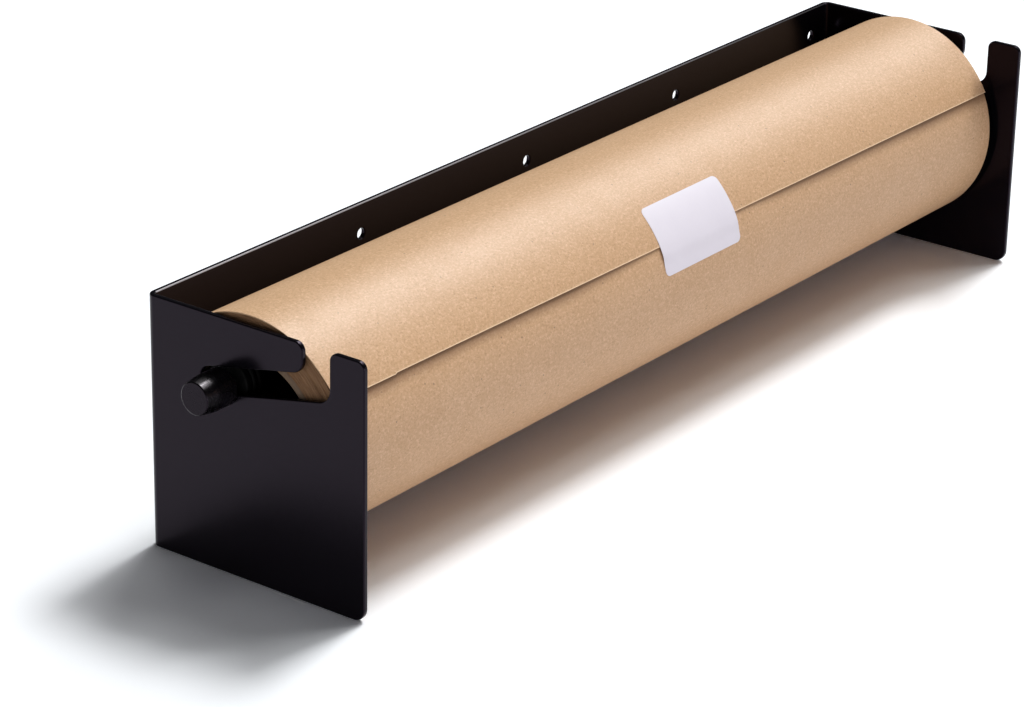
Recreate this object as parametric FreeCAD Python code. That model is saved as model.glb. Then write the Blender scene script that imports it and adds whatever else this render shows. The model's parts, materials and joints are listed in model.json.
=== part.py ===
import FreeCAD, Part
import math
import os
from FreeCAD import Vector

# Holder for a roll of wrapping paper: a folded steel bracket, a bar with knobs, a roll of paper.
# Millimetres. X runs along the roll, +Y is the back that goes to a wall, +Z is up.
# The origin is under the middle of the bracket, on the surface that it stands on.
# A setback is a distance forward from the bracket's back face.

# Roll of paper, and the play that the bay leaves at its ends
ROLL_DIAMETER = 123.4
ROLL_LENGTH = 610.0
ROLL_END_PLAY = 6.0
ROLL_LEFT_GAP = 0.8
ROLL_BACK_GAP = 0.8
HANG_LEAN_DEG = 36.0
CORE_BORE = 80.0
CORE_WALL = 4.0

# Bracket, folded from one sheet
BRACKET_DEPTH = 140.0
BRACKET_HEIGHT = 138.5
SHEET = 3.0
BEND_INSIDE = 2.0
EDGE_ROUND = 0.4
TOE_ROUND = 7.0

# Slot in each end plate: an upright entry behind a tab, then a channel that falls towards the back
TAB_WIDTH = 21.7
ENTRY_WIDTH = 16.8
ENTRY_FLOOR_ROUND = 8.0
CHANNEL_WIDTH = 14.0
CHANNEL_FALL_DEG = 11.7
CHANNEL_END_SETBACK = 42.6
NOSE_HEIGHT = 15.8
NOSE_TOP_ROUND = 5.0
NOSE_TIP_ROUND = 7.5
TAB_ROUND = 4.5

# Row of holes for wall screws
WALL_HOLE_COUNT = 5
WALL_HOLE_INSET = 19.2
WALL_HOLE_DIAMETER = 6.0
WALL_HOLE_DROP = 17.3

# Bar that carries the roll
BAR_DIAMETER = 25.4
BAR_WALL = 3.0
BAR_PLAY = 1.0
PLUG_FLANGE = 3.0
PLUG_DEPTH = 22.0
PLUG_CHAMFER = 1.0
STUD_DIAMETER = 8.0
KNOB_DIAMETER = 19.4
KNOB_LENGTH = 20.5
KNOB_BORE_DEPTH = 14.0
KNOB_CHAMFER = 1.0
KNOB_GAP = 0.4

# Rubber rings in grooves near each end of the bar
RINGS_PER_END = 2
RING_SECTION = 2.4
RING_DEPTH = 1.6
RING_SETBACK = 6.5
RING_PITCH = 4.0

# Last turn of paper, thicker at its loose edge, and the label that holds the edge down
TURN_START_THICKNESS = 0.3
TURN_END_THICKNESS = 0.7
EDGE_LEFT_DEG = 29.8
EDGE_RIGHT_DEG = 25.4
LABEL_WIDTH = 71.0
LABEL_HEIGHT = 40.0
LABEL_THICKNESS = 0.2
LABEL_ROUND = 3.5
LABEL_OFFSET = -1.5
LABEL_MIDDLE_DEG = 30.5

# Clearances and overruns
SEAT_GAP = 0.3
FIT_GAP = 0.05
TURN_GAP = 0.1
OVERRUN = 5.0
SAME_POINT = 1e-6
QUARTERS = 4

# Places that follow from the sizes above
BACK_Y = BRACKET_DEPTH / 2
FRONT_Y = -BRACKET_DEPTH / 2
PLATE_INSIDE = (ROLL_LENGTH + ROLL_END_PLAY) / 2
PLATE_OUTSIDE = PLATE_INSIDE + SHEET
ENTRY_FRONT_Y = FRONT_Y + TAB_WIDTH
ENTRY_BACK_Y = ENTRY_FRONT_Y + ENTRY_WIDTH
FALL = math.radians(CHANNEL_FALL_DEG)
CHANNEL_END_Y = BACK_Y - CHANNEL_END_SETBACK
NOSE_TIP_Z = BRACKET_HEIGHT - NOSE_HEIGHT
CHANNEL_DROP = (CHANNEL_END_Y - ENTRY_BACK_Y) * math.tan(FALL) + CHANNEL_WIDTH / 2 / math.cos(FALL)
CHANNEL_END_Z = NOSE_TIP_Z - CHANNEL_DROP
BAR_END = PLATE_INSIDE - BAR_PLAY
RING_RADIUS = BAR_DIAMETER / 2 - RING_DEPTH + RING_SECTION / 2
ROLL_RADIUS = ROLL_DIAMETER / 2
TURN_INSIDE = ROLL_RADIUS - TURN_END_THICKNESS
PACK_RADIUS = TURN_INSIDE - TURN_GAP
CORE_OUTSIDE = CORE_BORE / 2 + CORE_WALL
ROLL_LEFT = -PLATE_INSIDE + ROLL_LEFT_GAP
ROLL_RIGHT = ROLL_LEFT + ROLL_LENGTH


def channel_height(y):
    """Height of the channel's centre line at a place along Y."""
    return CHANNEL_END_Z + (CHANNEL_END_Y - y) * math.tan(FALL)


def resting_height(y):
    """Height of the bar's axis when its neck lies on the channel's lower edge."""
    drop = (CHANNEL_WIDTH / 2 - STUD_DIAMETER / 2 - SEAT_GAP) / math.cos(FALL)
    return channel_height(y) - drop


def bar_and_roll_places():
    """The bar lies where the roll leans on the back plate, or at the channel's closed end."""
    hang = CORE_BORE / 2 - RING_RADIUS - RING_SECTION / 2 - SEAT_GAP
    leaning_y = BACK_Y - SHEET - ROLL_BACK_GAP - ROLL_RADIUS
    end_stop = CHANNEL_END_Y - (CHANNEL_WIDTH - STUD_DIAMETER) / 2 * math.tan(FALL)
    bar_y = min(leaning_y + hang * math.sin(math.radians(HANG_LEAN_DEG)), end_stop)
    roll_y = min(leaning_y, bar_y)
    bar_z = resting_height(bar_y)
    roll_z = bar_z - math.sqrt(hang ** 2 - (bar_y - roll_y) ** 2)
    return bar_y, bar_z, roll_y, roll_z


BAR_Y, BAR_Z, ROLL_Y, ROLL_Z = bar_and_roll_places()


def rounded_wire(corners, place):
    """Closed wire through corners given as (u, v, radius); place turns u, v into a point."""
    arcs = []
    for i, (u, v, radius) in enumerate(corners):
        here = Vector(u, v, 0)
        back = Vector(*corners[i - 1][:2], 0) - here
        ahead = Vector(*corners[(i + 1) % len(corners)][:2], 0) - here
        back.normalize()
        ahead.normalize()
        half = back.getAngle(ahead) / 2
        middle = back + ahead
        middle.normalize()
        reach = radius / math.tan(half)
        arcs.append((here + back * reach, here + middle * (radius / math.sin(half) - radius),
                     here + ahead * reach, radius))
    edges = []
    for i, (start, middle, end, radius) in enumerate(arcs):
        if radius:
            edges.append(Part.Arc(*[place(p.x, p.y) for p in (start, middle, end)]).toShape())
        following = arcs[(i + 1) % len(arcs)][0]
        if (following - end).Length > SAME_POINT:
            line = Part.LineSegment(place(end.x, end.y), place(following.x, following.y))
            edges.append(line.toShape())
    return Part.Wire(edges)


def extruded(wire, travel):
    return Part.Face(wire).extrude(travel)


def x_cylinder(radius, x_from, x_to, y, z):
    low, high = min(x_from, x_to), max(x_from, x_to)
    return Part.makeCylinder(radius, high - low, Vector(low, y, z), Vector(1, 0, 0))


def x_tube(outside, inside, x_from, x_to, y, z):
    overrun = math.copysign(OVERRUN, x_to - x_from)
    bore = x_cylinder(inside, x_from - overrun, x_to + overrun, y, z)
    return x_cylinder(outside, x_from, x_to, y, z).cut(bore)


def folded_strip():
    """The sheet seen from above, as a U with two bends, raised to the full height."""
    inner_x = PLATE_INSIDE
    inner_y = BACK_Y - SHEET
    outside_bend = BEND_INSIDE + SHEET
    corners = [
        (-PLATE_OUTSIDE, FRONT_Y, 0),
        (-PLATE_OUTSIDE, BACK_Y, outside_bend),
        (PLATE_OUTSIDE, BACK_Y, outside_bend),
        (PLATE_OUTSIDE, FRONT_Y, 0),
        (inner_x, FRONT_Y, 0),
        (inner_x, inner_y, BEND_INSIDE),
        (-inner_x, inner_y, BEND_INSIDE),
        (-inner_x, FRONT_Y, 0),
    ]
    wire = rounded_wire(corners, lambda u, v: Vector(u, v, 0))
    return extruded(wire, Vector(0, 0, BRACKET_HEIGHT))


def side_outline():
    """Outline of an end plate seen from the side, as (y, z, radius), with its slot."""
    half = CHANNEL_WIDTH / 2
    along = Vector(0, math.cos(FALL), -math.sin(FALL))
    across = Vector(0, math.sin(FALL), math.cos(FALL))
    end = Vector(0, CHANNEL_END_Y, CHANNEL_END_Z) + along * half
    end_low = end - across * half
    end_high = end + across * half
    floor_z = channel_height(ENTRY_FRONT_Y) - half / math.cos(FALL)
    return [
        (BACK_Y, 0, 0),
        (FRONT_Y, 0, TOE_ROUND),
        (FRONT_Y, BRACKET_HEIGHT, TAB_ROUND),
        (ENTRY_FRONT_Y, BRACKET_HEIGHT, TAB_ROUND),
        (ENTRY_FRONT_Y, floor_z, ENTRY_FLOOR_ROUND),
        (end_low.y, end_low.z, half),
        (end_high.y, end_high.z, half),
        (ENTRY_BACK_Y, NOSE_TIP_Z, NOSE_TIP_ROUND),
        (ENTRY_BACK_Y, BRACKET_HEIGHT, NOSE_TOP_ROUND),
        (BACK_Y, BRACKET_HEIGHT, 0),
    ]


def wall_holes():
    height = BRACKET_HEIGHT - WALL_HOLE_DROP
    first = -PLATE_OUTSIDE + WALL_HOLE_INSET
    pitch = -2 * first / (WALL_HOLE_COUNT - 1)
    holes = []
    for index in range(WALL_HOLE_COUNT):
        start = Vector(first + index * pitch, BACK_Y + OVERRUN, height)
        depth = SHEET + 2 * OVERRUN
        holes.append(Part.makeCylinder(WALL_HOLE_DIAMETER / 2, depth, start, Vector(0, -1, 0)))
    return holes


def rim_edges(sheet):
    """Edges between the sheet's broad faces and its cut faces, without the lines at the bends."""
    bend_line = BACK_Y - BEND_INSIDE - SHEET - SAME_POINT
    rims = []
    for edge in sheet.Edges:
        box = edge.BoundBox
        upright = box.XLength < SAME_POINT and box.YLength < SAME_POINT
        crosswise = box.YLength < SAME_POINT and box.ZLength < SAME_POINT
        if upright and box.YMin > bend_line:
            continue
        if crosswise and box.XLength < SHEET + SAME_POINT:
            continue
        rims.append(edge)
    return rims


def bracket():
    across = Vector(2 * (PLATE_OUTSIDE + OVERRUN), 0, 0)
    start = -PLATE_OUTSIDE - OVERRUN
    outline = rounded_wire(side_outline(), lambda u, v: Vector(start, u, v))
    sheet = folded_strip().common(extruded(outline, across))
    sheet = sheet.makeFillet(EDGE_ROUND, rim_edges(sheet))
    return sheet.cut(wall_holes())


def ring_places(side):
    """Distances along X of the rings at one end; side is -1 at the left and 1 at the right."""
    first = PLATE_INSIDE - RING_SETBACK
    return [side * (first - index * RING_PITCH) for index in range(RINGS_PER_END)]


def ring_at(x, section):
    return Part.makeTorus(RING_RADIUS, section / 2, Vector(x, BAR_Y, BAR_Z), Vector(1, 0, 0))


def bar_tube():
    end = BAR_END - PLUG_FLANGE
    bar = x_tube(BAR_DIAMETER / 2, BAR_DIAMETER / 2 - BAR_WALL, -end, end, BAR_Y, BAR_Z)
    grooves = [ring_at(x, RING_SECTION + 2 * FIT_GAP) for side in (-1, 1) for x in ring_places(side)]
    return bar.cut(grooves)


def end_plug(side):
    shoulder = BAR_END - PLUG_FLANGE
    spigot = BAR_DIAMETER / 2 - BAR_WALL - FIT_GAP
    flange = x_cylinder(BAR_DIAMETER / 2, side * shoulder, side * BAR_END, BAR_Y, BAR_Z)
    body = x_cylinder(spigot, side * (shoulder - PLUG_DEPTH), side * BAR_END, BAR_Y, BAR_Z)
    tip = [e for e in body.Edges if abs(e.CenterOfMass.x - side * (shoulder - PLUG_DEPTH)) < SAME_POINT]
    body = body.makeChamfer(PLUG_CHAMFER, tip)
    rim = [e for e in flange.Edges if abs(e.CenterOfMass.x - side * BAR_END) < SAME_POINT]
    flange = flange.makeChamfer(PLUG_CHAMFER, rim)
    hole = x_cylinder(STUD_DIAMETER / 2 + FIT_GAP, side * (shoulder - PLUG_DEPTH - OVERRUN),
                      side * (BAR_END + OVERRUN), BAR_Y, BAR_Z)
    return flange.fuse(body).cut(hole).removeSplitter()


def stud(side):
    inner = BAR_END - PLUG_FLANGE - PLUG_DEPTH
    outer = PLATE_OUTSIDE + KNOB_GAP + KNOB_BORE_DEPTH - SEAT_GAP
    return x_cylinder(STUD_DIAMETER / 2, side * inner, side * outer, BAR_Y, BAR_Z)


def knob(side):
    inner = PLATE_OUTSIDE + KNOB_GAP
    outer = inner + KNOB_LENGTH
    body = x_cylinder(KNOB_DIAMETER / 2, side * inner, side * outer, BAR_Y, BAR_Z)
    rims = [e for e in body.Edges if e.BoundBox.XLength < SAME_POINT]
    body = body.makeChamfer(KNOB_CHAMFER, rims)
    hole = x_cylinder(STUD_DIAMETER / 2 + FIT_GAP, side * (inner - OVERRUN),
                      side * (inner + KNOB_BORE_DEPTH), BAR_Y, BAR_Z)
    return body.cut(hole)


def roll_tube(outside, inside):
    return x_tube(outside, inside, ROLL_LEFT, ROLL_RIGHT, ROLL_Y, ROLL_Z)


def quarter_arcs(x, start_deg, radius, shrink):
    """Closed wire of four tangent quarter arcs round the roll, each smaller by shrink than the last.

    It starts at start_deg above the front, and a step joins its ends where shrink isn't zero.
    """
    centre = Vector(x, ROLL_Y, ROLL_Z)
    angle = math.radians(start_deg)
    quarter = math.pi / 2

    def point(turned):
        return centre + Vector(0, -math.cos(angle + turned), math.sin(angle + turned)) * radius

    edges = []
    first = point(0)
    for _ in range(QUARTERS):
        edges.append(Part.Arc(point(0), point(quarter / 2), point(quarter)).toShape())
        centre = centre + (point(quarter) - centre) * (shrink / radius)
        angle = angle + quarter
        radius = radius - shrink
    if shrink:
        edges.append(Part.LineSegment(point(0), first).toShape())
    return Part.Wire(edges)


def skewed_round(radius, shrink):
    """Solid over the roll's length whose arcs start lower at the right end than at the left."""
    sections = [quarter_arcs(ROLL_LEFT, EDGE_LEFT_DEG, radius, shrink),
                quarter_arcs(ROLL_RIGHT, EDGE_RIGHT_DEG, radius, shrink)]
    return Part.makeLoft(sections, True, True)


def outer_turn():
    """The last turn, a little askew, growing from its start to its loose edge."""
    growth = TURN_END_THICKNESS - TURN_START_THICKNESS
    return skewed_round(ROLL_RADIUS, growth / QUARTERS).cut(skewed_round(TURN_INSIDE, 0))


def label():
    """A rounded rectangle of thin sheet, bent round the roll over the loose edge."""
    inside = ROLL_RADIUS + TURN_GAP
    sleeve = x_tube(inside + LABEL_THICKNESS, inside, LABEL_OFFSET - LABEL_WIDTH,
                    LABEL_OFFSET + LABEL_WIDTH, ROLL_Y, ROLL_Z)
    tilt = math.radians(LABEL_MIDDLE_DEG)
    out = Vector(0, -math.cos(tilt), math.sin(tilt))
    up = Vector(0, math.sin(tilt), math.cos(tilt))
    middle = Vector(LABEL_OFFSET, ROLL_Y, ROLL_Z)
    wide, high = LABEL_WIDTH / 2, LABEL_HEIGHT / 2
    corners = [(-wide, -high, LABEL_ROUND), (wide, -high, LABEL_ROUND),
               (wide, high, LABEL_ROUND), (-wide, high, LABEL_ROUND)]
    outline = rounded_wire(corners, lambda u, v: middle + Vector(u, 0, 0) + up * v)
    return sleeve.common(extruded(outline, out * (inside + LABEL_THICKNESS + OVERRUN)))


def write(name, shape):
    shape.exportStep("parts/" + name + ".step")


def main():
    os.makedirs("parts", exist_ok=True)
    write("bracket", bracket())
    write("bar_tube", bar_tube())
    for side, word in ((-1, "left"), (1, "right")):
        write("end_plug_" + word, end_plug(side))
        write("stud_" + word, stud(side))
        write("knob_" + word, knob(side))
        for number, x in enumerate(ring_places(side), start=1):
            write("grip_ring_%s_%d" % (word, number), ring_at(x, RING_SECTION))
    write("roll_core", roll_tube(CORE_OUTSIDE, CORE_BORE / 2))
    write("paper_roll", roll_tube(PACK_RADIUS, CORE_OUTSIDE + TURN_GAP))
    write("outer_turn", outer_turn())
    write("label", label())
    print("bar axis y %.2f z %.2f, roll axis y %.2f z %.2f" % (BAR_Y, BAR_Z, ROLL_Y, ROLL_Z))


main()
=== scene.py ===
# %% [markdown]
# # A roll of wrapping paper in its folded steel holder
#
# A strip of black steel is folded to a U and stands on the counter or hangs on the wall. A full
# roll of brown paper hangs in it on a bar, and the bar's ends lie in an open slot in each end.
# The frame already has every part at its true size and place, so the pieces here only have to be
# finer surfaces in the same places, with finishes that look like coated steel, paper and board.

# %% Frame
import json
import math

import bpy
import numpy as np
from mathutils import Matrix, Vector
from mathutils.geometry import delaunay_2d_cdt


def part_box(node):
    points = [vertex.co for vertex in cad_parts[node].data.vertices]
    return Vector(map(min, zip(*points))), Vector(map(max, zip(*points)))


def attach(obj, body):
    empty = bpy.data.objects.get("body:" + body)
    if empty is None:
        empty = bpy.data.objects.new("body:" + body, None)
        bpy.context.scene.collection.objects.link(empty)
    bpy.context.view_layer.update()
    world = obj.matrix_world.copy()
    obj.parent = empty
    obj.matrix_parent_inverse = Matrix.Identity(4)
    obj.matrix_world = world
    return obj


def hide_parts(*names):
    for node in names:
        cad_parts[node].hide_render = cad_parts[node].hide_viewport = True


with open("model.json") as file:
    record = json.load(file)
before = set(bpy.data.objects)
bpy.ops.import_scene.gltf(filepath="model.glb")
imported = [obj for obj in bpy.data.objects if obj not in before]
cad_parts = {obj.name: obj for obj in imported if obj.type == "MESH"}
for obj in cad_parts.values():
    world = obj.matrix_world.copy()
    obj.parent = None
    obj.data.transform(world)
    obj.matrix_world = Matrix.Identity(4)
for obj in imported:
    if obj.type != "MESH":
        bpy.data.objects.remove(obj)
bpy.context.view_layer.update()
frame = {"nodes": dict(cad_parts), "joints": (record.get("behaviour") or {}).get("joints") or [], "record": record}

MM = 0.001
TURN = 2 * math.pi
QUARTER = math.pi / 2

# %% [markdown]
# ## Reading sizes from the frame
#
# The round parts all lie along X, so two axes place them: the roll's and the bar's. Both stand in
# the frame's joints. A part's length and its two radii are then the smallest and largest values
# over its own corners. That is exact, where a box of a many-sided cylinder is a little too small.

# %% Axes and round sizes
joints = {joint["name"]: joint for joint in frame["joints"]}
ROLL_AXIS = np.array(joints["roll_spin"]["pos_m"][1:])
BAR_AXIS = np.array(joints["knob_left_turn"]["pos_m"][1:])


def corners_of(node):
    """The corners of a frame part, one row each."""
    mesh = frame["nodes"][node].data
    flat = np.empty(3 * len(mesh.vertices))
    mesh.vertices.foreach_get("co", flat)
    return flat.reshape(-1, 3)


def round_sizes(node, axis):
    """Where a round part starts and ends along X, and its smallest and largest radius."""
    corners = corners_of(node)
    distance = np.hypot(corners[:, 1] - axis[0], corners[:, 2] - axis[1])
    return corners[:, 0].min(), corners[:, 0].max(), distance.min(), distance.max()


print("roll axis", ROLL_AXIS, "bar axis", BAR_AXIS)

# %% [markdown]
# ## From numbers to a piece
#
# Every surface here is a grid of points worked out at once, plus the quads between neighbours.
# One function turns such a grid into a piece that stands for a part of the frame, so that no piece
# is left without its body, its slot or its finish. Where the true surface direction is known from
# the formula, it is given to the mesh, so that a flat face next to a tiny rounding stays flat.

# %% Pieces
body_of = {node: body for body, nodes in frame["record"]["behaviour"]["bodies"].items() for node in nodes}


def grid_quads(number, close_rows=False, close_columns=False):
    """Quads between neighbours in a grid of point numbers, turned so that row x column is outward."""
    if close_rows:
        number = np.concatenate([number, number[:1]])
    if close_columns:
        number = np.concatenate([number, number[:, :1]], 1)
    return np.stack([number[:-1, :-1], number[1:, :-1], number[1:, 1:], number[:-1, 1:]], -1).reshape(-1, 4)


def add_piece(name, node, points, faces, finish, directions=None, crease_deg=None):
    """Makes the mesh, gives it a finish, and lets it stand for a part of the frame on its body."""
    mesh = bpy.data.meshes.new(name)
    corner_lists = [face for block in faces for face in block.tolist()]
    mesh.from_pydata(points.reshape(-1, 3).tolist(), [], corner_lists)
    mesh.shade_smooth()
    if crease_deg:
        mesh.set_sharp_from_angle(angle=math.radians(crease_deg))
    if directions is not None:
        mesh.normals_split_custom_set_from_vertices(directions.reshape(-1, 3).tolist())
    mesh.materials.append(finish)
    piece = bpy.data.objects.new(name, mesh)
    bpy.context.scene.collection.objects.link(piece)
    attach(piece, body_of[node])
    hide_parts(node)
    print("%-22s %6d faces" % (name, len(mesh.polygons)))
    return piece


def add_amount(piece, name, amount):
    """An amount for each of the mesh's points, which its finish can read by name."""
    layer = piece.data.attributes.new(name, "FLOAT", "POINT")
    layer.data.foreach_set("value", np.asarray(amount, float).ravel())


# %% [markdown]
# ## Outlines with soft corners
#
# A cut sheet and a turned rod are both made from an outline. No real corner is perfectly sharp, so
# each corner is written with its radius, and one function puts the arc in. It also gives the
# direction to the right of travel, which later tells the light where the surface faces.

# %% Outlines
ARC_STEPS = 8
SAME_PLACE = 1e-7


def soft_outline(corners, closed=True, steps=ARC_STEPS):
    """Points and right-hand directions of an outline given as corners (u, v, radius).

    A corner with a radius becomes points on the circle that touches both its sides. The circle's
    centre lies on the line that halves the corner, at radius / sin(half the corner).
    """
    places = np.array([corner[:2] for corner in corners], float)
    points, rights = [], []
    for index, (*_, radius) in enumerate(corners):
        here = places[index]
        ends = not closed and index in (0, len(corners) - 1)
        back = places[index - 1] - here
        ahead = places[(index + 1) % len(corners)] - here
        if not closed and index == 0:
            back = -ahead
        if not closed and index == len(corners) - 1:
            ahead = -back
        back, ahead = back / np.hypot(*back), ahead / np.hypot(*ahead)
        if ends or radius == 0:
            points.append(here[None])
            rights.append(np.array([[ahead[1], -ahead[0]]]))
            continue
        half = math.acos(np.clip(back @ ahead, -1, 1)) / 2
        middle = (back + ahead) / np.hypot(*(back + ahead))
        centre = here + middle * radius / math.sin(half)
        side = -math.copysign(1, back[0] * ahead[1] - back[1] * ahead[0])
        first = here + back * radius / math.tan(half) - centre
        angle = math.atan2(first[1], first[0]) + side * (math.pi - 2 * half) * np.linspace(0, 1, steps + 1)
        spoke = np.stack([np.cos(angle), np.sin(angle)], -1)
        points.append(centre + spoke * radius)
        rights.append(spoke * side)
    points, rights = np.concatenate(points), np.concatenate(rights)
    apart = np.hypot(*(points - np.roll(points, 1, 0)).T) > SAME_PLACE
    return points[apart], rights[apart]


def turned(outline, axis, steps, closed=True):
    """An outline of (x, radius) corners carried round an axis along X.

    A point at radius r and angle a lies at y = axis y - r cos a and z = axis z + r sin a.
    """
    profile, right = soft_outline(outline, closed)
    angle = np.arange(steps) * TURN / steps
    spoke = np.stack([-np.cos(angle), np.sin(angle)], -1)
    ring = profile[:, None, 1:] * spoke + axis
    points = np.concatenate([np.repeat(profile[:, None, :1], steps, 1), ring], -1)
    directions = np.concatenate([np.repeat(-right[:, None, :1], steps, 1), -right[:, None, 1:] * spoke], -1)
    number = np.arange(len(profile) * steps).reshape(-1, steps)
    number[profile[:, 1] == 0] = number[profile[:, 1] == 0][:, :1]
    quads = grid_quads(number, closed, True)
    used, corner = np.unique(quads, return_inverse=True)
    quads = corner.reshape(quads.shape)
    fans_low, fans_high = quads[:, 0] == quads[:, 3], quads[:, 1] == quads[:, 2]
    faces = [quads[~fans_low & ~fans_high], quads[fans_low][:, :3], quads[fans_high][:, [0, 1, 3]]]
    return points.reshape(-1, 3)[used], faces, directions.reshape(-1, 3)[used]


def at_end(side, outline):
    """The outline at the left end, and its mirror image at the right, travelled from left to right."""
    return outline if side == "left" else [(-x, radius, soft) for x, radius, soft in reversed(outline)]


# %% [markdown]
# ## Building a finish from nodes
#
# A finish here is a Principled shader with a few patterns feeding it. Small helpers keep each
# network readable: a node with its sockets filled in, a noise pattern, a stretch of its values to
# a wanted range, a mix of two colours, and so on. Every pattern reads Object coordinates in metres,
# so its scale is one over the real size of its features and it stays put when the piece moves.

# %% Node helpers
def add_node(tree, kind, inputs, **settings):
    """A node of a kind, its sockets filled with values or linked to other sockets."""
    node = tree.nodes.new("ShaderNode" + kind)
    for name, value in settings.items():
        setattr(node, name, value)
    for socket, value in inputs.items():
        if isinstance(value, bpy.types.NodeSocket):
            tree.links.new(value, node.inputs[socket])
        else:
            node.inputs[socket].default_value = value
    return node


def grain(tree, place, size, detail=2.0, rough=0.5):
    """Noise whose features are about size metres wide, from 0 to 1 around a half."""
    inputs = {"Vector": place, "Scale": 1 / size, "Detail": detail, "Roughness": rough}
    return add_node(tree, "TexNoise", inputs).outputs["Fac"]


def stretched(tree, value, low, high, start=0.3, end=0.7):
    """The value's range from start to end, laid over low to high."""
    inputs = {"Value": value, "From Min": start, "From Max": end, "To Min": low, "To Max": high}
    return add_node(tree, "MapRange", inputs).outputs["Result"]


def mixed(tree, share, first, second, blend="MIX"):
    """Two colours mixed by a share of the second one."""
    node = add_node(tree, "Mix", {0: share, 6: first, 7: second}, data_type="RGBA", blend_type=blend)
    return node.outputs[2]


def maths(tree, operation, first, second=0.0, third=0.0):
    inputs = {0: first, 1: second, 2: third}
    return add_node(tree, "Math", inputs, operation=operation).outputs[0]


def amount_of(tree, name):
    """An amount that add_amount has put on the mesh, or zero where it has put none."""
    return add_node(tree, "Attribute", {}, attribute_name=name).outputs["Fac"]


def relief(tree, height, depth, below=None):
    """Bump of a height pattern whose full range is depth metres."""
    inputs = {"Height": height, "Distance": depth}
    if below:
        inputs["Normal"] = below
    return add_node(tree, "Bump", inputs).outputs["Normal"]


def new_finish(name, **values):
    """A material, its node tree, its shader with plain values set, and its Object coordinates."""
    material = bpy.data.materials.new(name)
    material.use_nodes = True
    tree = material.node_tree
    shader = tree.nodes["Principled BSDF"]
    for socket, value in values.items():
        shader.inputs[socket.replace("_", " ")].default_value = value
    place = add_node(tree, "TexCoord", {}).outputs["Object"]
    return material, tree, shader, place


def feed(tree, shader, **sockets):
    for name, value in sockets.items():
        tree.links.new(value, shader.inputs[name.replace("_", " ")])


# %% [markdown]
# ## Black powder coat
#
# The holder's steel is sprayed with black powder and baked. The film flows into a very fine orange
# peel, a millimetre or two across and only microns deep. It hardly scatters light by itself, so the
# sheet is seen mostly by what it mirrors softly, here the white floor and its own shadow on it. Two
# noises tilt the surface a little, and a slower one makes some places a shade duller than others.
# The mirror image is a little purple, as in many black coats, so the tint is set on the mirror part.
# The mesh can carry an amount of painted highlight, which makes the coat paler along an edge where a bright line
# of light is painted in.

# %% Powder coat
# The painted highlight on the sheet's edge: the name of its amount, and its paler colour.
PAINTED_HIGHLIGHT_NAME = "painted_highlight"
PAINTED_HIGHLIGHT_COLOUR = (0.46, 0.45, 0.46, 1)


def powder_coat(name, base, rough_low, rough_high, peel_depth, mirror):
    material, tree, shader, place = new_finish(name, Specular_IOR_Level=mirror,
                                               Specular_Tint=(0.96, 0.70, 1, 1))
    cloud = grain(tree, place, 0.06, 3)
    peel = grain(tree, place, 0.0013, 1)
    dust = grain(tree, place, 0.0004, 2)
    lighter = tuple(1.5 * channel for channel in base[:3]) + (1,)
    coat = mixed(tree, stretched(tree, dust, 0, 1, 0.45, 0.75), base, lighter)
    # The painted highlight: the paler colour is mixed in where the mesh carries that amount, a little unevenly.
    highlight_share = maths(tree, "MULTIPLY", amount_of(tree, PAINTED_HIGHLIGHT_NAME), stretched(tree, cloud, 0.85, 1))
    feed(tree, shader,
         Base_Color=mixed(tree, highlight_share, coat, PAINTED_HIGHLIGHT_COLOUR),
         Roughness=stretched(tree, cloud, rough_low, rough_high),
         Normal=relief(tree, dust, 0.000002, relief(tree, peel, peel_depth)))
    return material


sheet_coat = powder_coat("satin powder coat", (0.0026, 0.0024, 0.0038, 1), 0.17, 0.22, 0.000004, 0.16)
bar_coat = powder_coat("bar coat", (0.0012, 0.0011, 0.0014, 1), 0.26, 0.34, 0.000006, 0.08)
print("powder coats made")

# %% [markdown]
# ## The holder: one sheet, cut flat and folded
#
# The real holder is cut from flat steel and folded twice. The piece is made in the same order. The
# flat outline holds both slots, a rim profile is carried along it, and the two broad faces are
# filled with triangles. Then one mapping folds the lot, which keeps every edge joined and gives
# true, evenly rounded bends. A box with a boolean would need far more repair.

# %% Sheet sizes
sheet_low, sheet_high = (np.array(corner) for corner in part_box("bracket"))
SHEET = 3 * MM
BEND_INSIDE = 2 * MM
EDGE_ROUND = 0.8 * MM
TOE_ROUND = 7 * MM
TAB_WIDTH = 21.7 * MM
TAB_ROUND = 4.5 * MM
ENTRY_WIDTH = 16.8 * MM
ENTRY_FLOOR_ROUND = 8 * MM
CHANNEL_WIDTH = 14 * MM
CHANNEL_FALL = math.radians(11.7)
CHANNEL_END_SETBACK = 42.6 * MM
NOSE_HEIGHT = 15.8 * MM
NOSE_TOP_ROUND = 5 * MM
NOSE_TIP_ROUND = 7.5 * MM

HEIGHT = sheet_high[2]
DEPTH = sheet_high[1] - sheet_low[1]
BEND_MIDDLE = BEND_INSIDE + SHEET / 2
BEND_ARC = BEND_MIDDLE * QUARTER
SIDE_LENGTH = DEPTH - SHEET - BEND_INSIDE
BACK_LENGTH = sheet_high[0] - sheet_low[0] - 2 * (SHEET + BEND_INSIDE)
STRIP_LENGTH = 2 * SIDE_LENGTH + 2 * BEND_ARC + BACK_LENGTH
print("flat strip %.1f mm long, %.1f mm high" % (STRIP_LENGTH / MM, HEIGHT / MM))


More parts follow.
